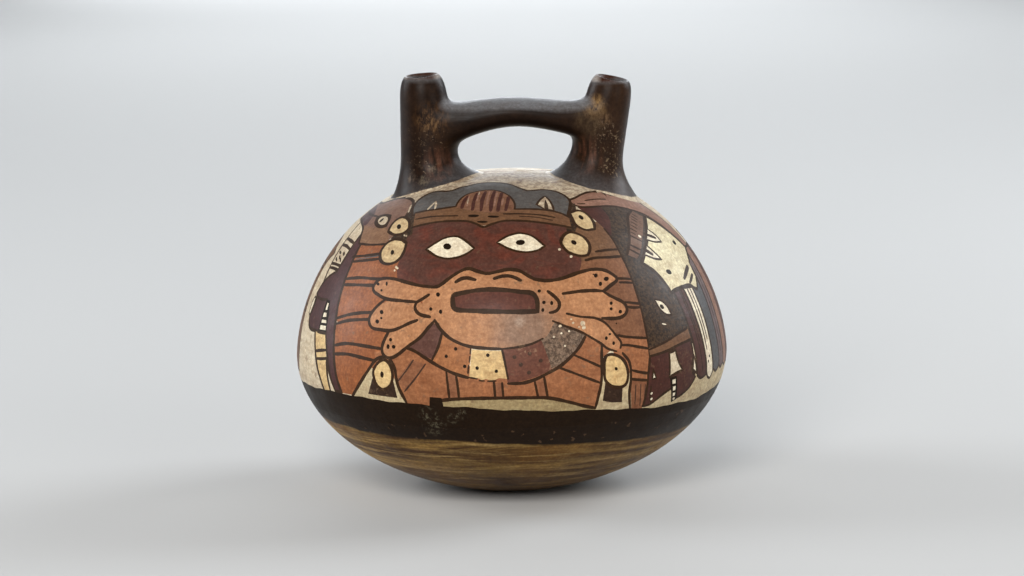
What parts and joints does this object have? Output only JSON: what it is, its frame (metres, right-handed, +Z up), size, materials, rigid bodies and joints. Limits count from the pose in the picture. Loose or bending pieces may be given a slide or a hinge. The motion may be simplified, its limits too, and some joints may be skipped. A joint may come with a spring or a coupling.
{
  "type": "painted pottery vessel",
  "caption": "Hollow round-bottomed pottery bottle with spouts joined by a strap bridge, dark slip on the spouts and a painted figure round its shoulder.",
  "frame": {"origin": "middle of the flat spot that the bottle stands on", "axes": "+Z up, X from spout to spout, the painted front faces -Y"},
  "size_m": [0.17, 0.17, 0.1639],
  "materials": {
    "burnished_slip": "burnished slip, satin gloss"
  },
  "bodies": {
    "root": {"vessel": "burnished_slip"}
  },
  "joints": []
}
